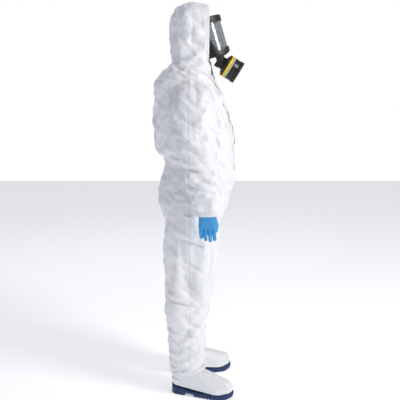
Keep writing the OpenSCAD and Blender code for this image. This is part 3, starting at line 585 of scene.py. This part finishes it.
def bumpSource(tree, s, place):
    if s["kind"] == "crease":
        ridge = addNode(tree, "ShaderNodeTexNoise",
                        {"noise_type": "RIDGED_MULTIFRACTAL", "Scale": s["grain"] * 0.42, "Detail": 3.0,
                         "Roughness": 0.5}, {"Vector": place})
        return ridge.outputs["Fac"]
    if s["kind"] == "brushed":
        long = addNode(tree, "ShaderNodeMapping", {"Scale": (1, 1, 0.08)}, {"Vector": place})
        lines = addNode(tree, "ShaderNodeTexNoise", {"Scale": s["grain"], "Detail": 2.0},
                        {"Vector": long.outputs["Vector"]})
        return lines.outputs["Fac"]
    if s["kind"] == "weave":
        ribs = addNode(tree, "ShaderNodeTexWave",
                       {"bands_direction": "Z", "Scale": s["grain"], "Distortion": 0.4}, {"Vector": place})
        return ribs.outputs["Fac"]
    grain = addNode(tree, "ShaderNodeTexNoise", {"Scale": s["grain"], "Detail": 3.0}, {"Vector": place})
    return grain.outputs["Fac"]


def seamHeight(tree, place):
    # sewn seams as low ridges: over the crown, down the sides and along the legs
    parts = addNode(tree, "ShaderNodeSeparateXYZ", None, {"Vector": place})
    lines = []
    for axis, at, half in (("X", 0.062, 0.0016), ("Y", 0.045, 0.0016)):
        source = parts.outputs[axis]
        if axis == "X":
            source = addNode(tree, "ShaderNodeMath", {"operation": "ABSOLUTE"}, {0: source}).outputs[0]
        away = addNode(tree, "ShaderNodeMath", {"operation": "SUBTRACT", 1: at}, {0: source})
        gap = addNode(tree, "ShaderNodeMath", {"operation": "ABSOLUTE"}, {0: away.outputs[0]})
        line = addNode(tree, "ShaderNodeMapRange", {"interpolation_type": "SMOOTHSTEP", "From Min": half,
                                                    "From Max": half * 2.2, "To Min": 1.0, "To Max": 0.0},
                       {"Value": gap.outputs[0]})
        low, high = (1.60, 1.61) if axis == "X" else (1.56, 1.55)
        zone = addNode(tree, "ShaderNodeMapRange", {"From Min": low, "From Max": high},
                       {"Value": parts.outputs["Z"]})
        both = addNode(tree, "ShaderNodeMath", {"operation": "MULTIPLY"},
                       {0: line.outputs["Result"], 1: zone.outputs["Result"]})
        lines.append(both.outputs[0])
    return addNode(tree, "ShaderNodeMath", {"operation": "MAXIMUM"}, {0: lines[0], 1: lines[1]}).outputs[0]


def makeMaterial(name):
    s = finishes[name]
    made = bpy.data.materials.new(name)
    made.use_nodes = True
    tree = made.node_tree
    shader = tree.nodes["Principled BSDF"]
    shader.inputs["Metallic"].default_value = s.get("metallic", 0.0)
    shader.inputs["Sheen Weight"].default_value = s.get("sheen", 0.0)
    if s.get("onCloth"):
        place = addNode(tree, "ShaderNodeAttribute", {"attribute_name": "restPlace"}).outputs["Vector"]
    else:
        place = addNode(tree, "ShaderNodeTexCoord").outputs["Object"]
    patch = addNode(tree, "ShaderNodeTexNoise", {"Scale": s["spread"], "Detail": 4.0}, {"Vector": place})
    first, second = (linear(c) for c in s["colours"])
    tone = addNode(tree, "ShaderNodeMix", {"data_type": "RGBA"}, {0: patch.outputs["Fac"]})
    tone.inputs[6].default_value = first
    tone.inputs[7].default_value = second
    colour = tone.outputs[2]
    if "scuff" in s:
        marks = addNode(tree, "ShaderNodeTexNoise",
                        {"Scale": s["spread"] * 5, "Detail": 6.0, "Roughness": 0.7}, {"Vector": place})
        rubbed = addNode(tree, "ShaderNodeMapRange", {"From Min": 0.60, "From Max": 0.74, "To Max": 0.55},
                         {"Value": marks.outputs["Fac"]})
        worn = addNode(tree, "ShaderNodeMix", {"data_type": "RGBA"}, {0: rubbed.outputs["Result"], 6: colour})
        worn.inputs[7].default_value = linear(s["scuff"])
        colour = worn.outputs[2]
    tree.links.new(colour, shader.inputs["Base Color"])
    gloss = addNode(tree, "ShaderNodeMapRange", {"From Min": 0.3, "From Max": 0.7, "To Min": s["rough"][0],
                                                 "To Max": s["rough"][1]}, {"Value": patch.outputs["Fac"]})
    tree.links.new(gloss.outputs["Result"], shader.inputs["Roughness"])
    coarse = addNode(tree, "ShaderNodeBump", {"Strength": s["strength"], "Distance": s["depth"]},
                     {"Height": bumpSource(tree, s, place)})
    grain = addNode(tree, "ShaderNodeTexNoise", {"Scale": s["fine"], "Detail": 2.0}, {"Vector": place})
    fine = addNode(tree, "ShaderNodeBump", {"Strength": 0.4, "Distance": s["fineDepth"]},
                   {"Height": grain.outputs["Fac"], "Normal": coarse.outputs["Normal"]})
    top = fine
    if s.get("seams"):
        top = addNode(tree, "ShaderNodeBump", {"Strength": 0.9, "Distance": 0.0018},
                      {"Height": seamHeight(tree, place), "Normal": fine.outputs["Normal"]})
    tree.links.new(top.outputs["Normal"], shader.inputs["Normal"])
    return made


materials = {name: makeMaterial(name) for name in finishes}


def makeLensMaterial():
    # hard-coated polycarbonate: clear with a faint smoke tint, a few hairline marks
    made = bpy.data.materials.new("coatedPolycarbonate")
    made.use_nodes = True
    tree = made.node_tree
    shader = tree.nodes["Principled BSDF"]
    shader.inputs["Base Color"].default_value = linear("#dfe6e8")
    shader.inputs["IOR"].default_value = 1.45
    shader.inputs["Transmission Weight"].default_value = 0.92
    place = addNode(tree, "ShaderNodeTexCoord").outputs["Object"]
    marks = addNode(tree, "ShaderNodeTexNoise", {"Scale": 90.0, "Detail": 6.0}, {"Vector": place})
    haze = addNode(tree, "ShaderNodeMapRange",
                   {"From Min": 0.45, "From Max": 0.75, "To Min": 0.04, "To Max": 0.14},
                   {"Value": marks.outputs["Fac"]})
    tree.links.new(haze.outputs["Result"], shader.inputs["Roughness"])
    return made


filterAxis = Vector((0, -0.848048, -0.529919))
# stops along the label from the mask side, with the colour of each band; no lettering
bandStops = ((0.0, "#141416"), (0.14, "#9c3f22"), (0.24, "#f0d22a"), (0.66, "#2f7d43"), (0.78, "#eceae2"),
             (0.90, "#141416"))


def makeBandMaterial():
    # printed paper label under clear film: flat colours, satin, faint paper grain
    made = bpy.data.materials.new("printedLabel")
    made.use_nodes = True
    tree = made.node_tree
    shader = tree.nodes["Principled BSDF"]
    place = addNode(tree, "ShaderNodeTexCoord").outputs["Object"]
    reach = [p.dot(filterAxis) for p in corners("filter_label")]
    along = addNode(tree, "ShaderNodeVectorMath", {"operation": "DOT_PRODUCT"}, {0: place})
    along.inputs[1].default_value = filterAxis
    share = addNode(tree, "ShaderNodeMapRange", {"From Min": min(reach), "From Max": max(reach)},
                    {"Value": along.outputs["Value"]})
    ramp = addNode(tree, "ShaderNodeValToRGB", None, {"Fac": share.outputs["Result"]})
    ramp.color_ramp.interpolation = "CONSTANT"
    for i, (at, code) in enumerate(bandStops):
        stop = ramp.color_ramp.elements[i] if i < 1 else ramp.color_ramp.elements.new(at)
        stop.position = at
        stop.color = linear(code)
    ramp.color_ramp.elements.remove(ramp.color_ramp.elements[-1])
    grain = addNode(tree, "ShaderNodeTexNoise", {"Scale": 900.0, "Detail": 3.0}, {"Vector": place})
    gloss = addNode(tree, "ShaderNodeMapRange", {"To Min": 0.28, "To Max": 0.5},
                    {"Value": grain.outputs["Fac"]})
    bump = addNode(tree, "ShaderNodeBump", {"Strength": 0.25, "Distance": 0.0003},
                   {"Height": grain.outputs["Fac"]})
    tree.links.new(ramp.outputs["Color"], shader.inputs["Base Color"])
    tree.links.new(gloss.outputs["Result"], shader.inputs["Roughness"])
    tree.links.new(bump.outputs["Normal"], shader.inputs["Normal"])
    return made


materials["coatedPolycarbonate"] = makeLensMaterial()
materials["printedLabel"] = makeBandMaterial()
print("materials ready")


def dress(obj, material):
    obj.data.materials.clear()
    obj.data.materials.append(materials[material])
    return obj


def bodyOf(node):
    return next(b for b, held in frame["record"]["behaviour"]["bodies"].items() if node in held)


def cutPiece(name, keep):
    # one piece of the cloth, with the shading of the whole so that no line shows at the cut
    obj = copyOf(name, cloth)
    pick(obj)
    for poly in obj.data.polygons:
        poly.select = not keep(poly.center, poly.material_index)
    bpy.ops.object.mode_set(mode="EDIT")
    bpy.ops.mesh.select_mode(type="FACE")
    bpy.ops.mesh.delete(type="FACE")
    bpy.ops.object.mode_set(mode="OBJECT")
    modify(obj, "DATA_TRANSFER", object=cloth, use_loop_data=True, data_types_loops={"CUSTOM_NORMAL"},
           loop_mapping="NEAREST_POLYNOR")
    for poly in obj.data.polygons:
        poly.material_index = 0
    return dress(obj, "laminateFilm")


# heights at which the cloth is parted, and the height where the hood has taken over from the trunk
neckCut, seatCut, thighCut, hoodFull = 1.60, 1.02, 0.63, 1.75


def sewPieces():
    hood = cutPiece("hoodCloth", lambda c, m: m == 0 and c.z > neckCut)
    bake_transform(hood)
    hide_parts("hood_centre_panel", "hood_side_right", "hood_side_left")
    trunk = cutPiece("trunkCloth", lambda c, m: m == 0 and seatCut < c.z <= neckCut)
    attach(trunk, "torso")
    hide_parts("front_panel_right", "front_panel_left", "back_panel")
    for side, sign, mark in (("right", -1, 1), ("left", 1, 2)):
        seat = cutPiece(side + "SeatCloth",
                        lambda c, m: m == 0 and thighCut < c.z <= seatCut and c.x * sign > 0)
        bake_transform(seat)
        leg = cutPiece(side + "LegCloth", lambda c, m: m == 0 and c.z <= thighCut and c.x * sign > 0)
        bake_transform(leg)
        sleeve = cutPiece(side + "SleeveCloth", lambda c, m: m == mark)
        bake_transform(sleeve)
        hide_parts(side + "_thigh_panel", *(["seat_panel", "crotch_gusset"] if sign < 0 else []))
        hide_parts(side + "_knee_panel", side + "_shin_panel")
        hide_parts(side + "_upper_sleeve", side + "_elbow_panel", side + "_lower_sleeve")


def mergedCopy(name, node):
    return editAll(copyOf(name, nodes[node]), lambda: bpy.ops.mesh.remove_doubles(threshold=0.00002))


def place(obj, node, material):
    # the piece is dressed, rides on the body of the node that it stands for, and the node is hidden
    dress(obj, material)
    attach(obj, bodyOf(node))
    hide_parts(node)
    return obj


# gathers per turn or metre, their height, and how far each band stands off the cloth
bands = {
    "face_elastic": {"gathers": 74, "height": 0.0011, "lift": 0.0030, "round": "y"},
    "right_cuff_elastic": {"gathers": 34, "height": 0.0014, "lift": 0.0022, "round": "z"},
    "left_cuff_elastic": {"gathers": 34, "height": 0.0014, "lift": 0.0022, "round": "z"},
    "right_ankle_elastic": {"gathers": 46, "height": 0.0016, "lift": 0.0026, "round": "z"},
    "left_ankle_elastic": {"gathers": 46, "height": 0.0016, "lift": 0.0026, "round": "z"},
    "waist_elastic": {"gathers": 900, "height": 0.0016, "lift": 0.0035, "round": "x"},
}


def makeBand(node):
    # the casing is skinned over the node's own wall, then gathered across its length
    band = bands[node]
    obj = mergedCopy(node.replace("elastic", "casing"), node)
    modify(obj, "REMESH", mode="VOXEL", voxel_size=0.0017)
    modify(obj, "SMOOTH", factor=0.5, iterations=2)
    middle = sum((v.co for v in obj.data.vertices), Vector()) / len(obj.data.vertices)
    moves = []
    for v in obj.data.vertices:
        d = v.co - middle
        if band["round"] == "x":
            turn = v.co.x * band["gathers"]
        elif band["round"] == "y":
            turn = math.atan2(d.z, d.x) * band["gathers"]
        else:
            turn = math.atan2(d.y, d.x) * band["gathers"]
        turn += 1.6 * noise.noise(v.co * 40)
        moves.append(v.normal * (band["lift"] + band["height"] * math.sin(turn)))
    for v, move in zip(obj.data.vertices, moves):
        v.co += move
    editAll(obj, lambda: bpy.ops.mesh.faces_shade_smooth())
    if node == "face_elastic":
        # it is left free of any body, as the hood's own cloth is
        dress(obj, "gatheredCasing")
        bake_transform(obj)
        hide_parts(node)
        return obj
    return place(obj, node, "gatheredCasing")


flap = {"half": 0.028, "low": 0.972, "high": 1.560, "lift": 0.0032, "thick": 0.0012}


def makeFlap():
    # laid over the closed zip by dropping a flat strip onto the cloth from the front
    deselectAll()
    bpy.ops.mesh.primitive_grid_add(x_subdivisions=12, y_subdivisions=110, size=1)
    obj = bpy.context.object
    obj.name = obj.data.name = "stormFlapCloth"
    for v in obj.data.vertices:
        x, t = v.co.x, v.co.y + 0.5
        v.co = (x * 2 * flap["half"], -0.4, flap["low"] + t * (flap["high"] - flap["low"]))
    rest = joined("flapRest", [copyOf("flapRest", cloth), copyOf("flapRest", nodes["storm_flap"])])
    modify(obj, "SHRINKWRAP", target=rest, wrap_method="PROJECT", use_project_y=True,
           use_positive_direction=True, use_negative_direction=False, offset=0)
    bpy.data.objects.remove(rest)
    # the two long edges drop back on to the cloth, the middle stays over the zip
    group = obj.vertex_groups.new(name="edges")
    for v in obj.data.vertices:
        weight = max(0, min(1, (abs(v.co.x) / flap["half"] - 0.62) / 0.2))
        if weight:
            group.add([v.index], weight, "REPLACE")
    modify(obj, "SHRINKWRAP", target=cloth, wrap_method="NEAREST_SURFACEPOINT", vertex_group="edges")
    obj.vertex_groups.remove(obj.vertex_groups["edges"])
    modify(obj, "SMOOTH", factor=0.5, iterations=3)
    editAll(obj, lambda: bpy.ops.mesh.normals_make_consistent(inside=False))
    turned = obj.data.polygons[600].normal.y > 0
    for v in obj.data.vertices:
        edge = abs(v.co.x) / flap["half"]
        v.co.y -= flap["lift"] + 0.0012 * math.sin(v.co.z * 95 + v.co.x * 30) * edge
    if turned:
        editAll(obj, lambda: bpy.ops.mesh.flip_normals())
    modify(obj, "SOLIDIFY", thickness=flap["thick"], offset=-1)
    modify(obj, "SUBSURF", levels=1, render_levels=1)
    editAll(obj, lambda: bpy.ops.mesh.faces_shade_smooth())
    rememberPlace(obj)
    dress(obj, "laminateFilm")
    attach(obj, "torso")
    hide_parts("storm_flap")
    return obj


tape = {"inward": 0.0045, "behind": 0.0012}


def makeTape():
    # the adhesive strip, kept in from the flap's edge and close behind it
    obj = mergedCopy("flapTape", "flap_adhesive_tape")
    for v in obj.data.vertices:
        v.co.x += tape["inward"]
        v.co.y += tape["behind"]
    return place(obj, "flap_adhesive_tape", "releasePaper")


def softCopy(name, node, cell, rounds, material):
    # a moulded shape: skinned over its node, then relaxed
    obj = modify(mergedCopy(name, node), "REMESH", mode="VOXEL", voxel_size=cell)
    modify(obj, "SMOOTH", factor=0.5, iterations=rounds)
    editAll(obj, lambda: bpy.ops.mesh.faces_shade_smooth())
    return place(obj, node, material)


def hardCopy(name, node, width, material):
    # a machined or moulded shape: its flat faces are cleaned and its edges rounded
    obj = mergedCopy(name, node)
    editAll(obj, lambda: bpy.ops.mesh.dissolve_limited(angle_limit=math.radians(0.6)))
    modify(obj, "BEVEL", width=width, segments=2, limit_method="ANGLE", angle_limit=math.radians(38),
           use_clamp_overlap=True)
    pick(obj)
    bpy.ops.object.shade_smooth_by_angle(angle=math.radians(38))
    return place(obj, node, material)


boot = {
    "cell": 0.0020, "rounds": 12, "apart": 0.117, "toeOut": 0.26,
    "welt": 0.0022, "weltHeight": 0.052, "weltHalf": 0.0035, "heelRise": 0.012,
    "cap": 0.0013, "capLine": -0.085, "capHalf": 0.003, "capTop": 0.12,
    "spur": 0.0064, "spurHeight": 0.073, "spurHalf": 0.008,
}


def makeBoot(side):
    name = side + "_boot_upper"
    obj = modify(mergedCopy(side + "BootUpper", name), "REMESH", mode="VOXEL", voxel_size=boot["cell"])
    modify(obj, "SMOOTH", factor=0.5, iterations=boot["rounds"])
    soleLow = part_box(side + "_boot_sole")[0][2]
    sign = -1 if side == "right" else 1
    moves = []
    for v in obj.data.vertices:
        p, n = v.co, v.normal
        # three raised lines: the welt above the sole, the toecap's edge and the spur at the heel
        along = p.y - sign * (p.x - sign * boot["apart"]) * boot["toeOut"]
        rise = soleLow + boot["weltHeight"] + boot["heelRise"] * max(0, min(1, (p.y - 0.03) / 0.1))
        lift = boot["welt"] * math.exp(-((p.z - rise) / boot["weltHalf"]) ** 2)
        if p.z < boot["capTop"]:
            lift += boot["cap"] * math.exp(-((along - boot["capLine"]) / boot["capHalf"]) ** 2)
        if p.y > 0.10 and abs(p.z - boot["spurHeight"]) < 0.03:
            lift += boot["spur"] * math.exp(-((p.z - boot["spurHeight"]) / boot["spurHalf"]) ** 2)
        moves.append(n * lift)
    for v, move in zip(obj.data.vertices, moves):
        v.co += move
    editAll(obj, lambda: bpy.ops.mesh.faces_shade_smooth())
    return place(obj, name, "mouldedPvc")


sewPieces()
print("coverall pieces cut")
for node in bands:
    makeBand(node)
makeFlap()
makeTape()
hardCopy("chinFlapCloth", "chin_flap", 0.0006, "gatheredCasing")
print("casings and flaps ready")
for side in ("right", "left"):
    softCopy(side + "GloveNitrile", side + "_glove", 0.0012, 7, "dippedNitrile")
    makeBoot(side)
    hardCopy(side + "BootSole", side + "_boot_sole", 0.0014, "navyRubber")
print("gloves and boots ready")

hardParts = {
    "mask_frame_upper": (0.0010, "grainedNylon"), "mask_frame_lower": (0.0010, "grainedNylon"),
    "mask_connector": (0.0008, "grainedNylon"), "mask_outlet_cover": (0.0006, "grainedNylon"),
    "mask_face_seal": (0.0010, "mouldedRubber"), "mask_harness": (0.0004, "mouldedRubber"),
    "harness_buckles": (0.0004, "turnedSteel"), "mask_frame_screws": (0.0003, "turnedSteel"),
    "filter_body": (0.0012, "satinAbs"), "filter_cap": (0.0010, "satinAbs"),
}
for node, (width, material) in hardParts.items():
    hardCopy(node.title().replace("_", ""), node, width, material)

plainParts = {
    "mask_lens": "coatedPolycarbonate", "mask_oronasal": "greySilicone", "mask_inlet_valve": "orangeSilicone",
    "mask_outlet_valve": "orangeSilicone", "filter_label": "printedLabel", "filter_gasket": "mouldedRubber",
    "zip_tapes": "wovenTape", "zip_coil": "nylonCoil", "zip_slider": "platedZinc", "zip_pull": "platedZinc",
    "zip_stops": "platedZinc", "right_boot_insole": "needleFelt", "left_boot_insole": "needleFelt",
    "right_boot_toecap": "paintedSteel", "left_boot_toecap": "paintedSteel",
}
for node, material in plainParts.items():
    obj = nodes[node]
    obj.data.materials.clear()
    obj.data.materials.append(materials[material])
print("mask, filter and fastenings ready")

bpy.data.objects.remove(cloth)
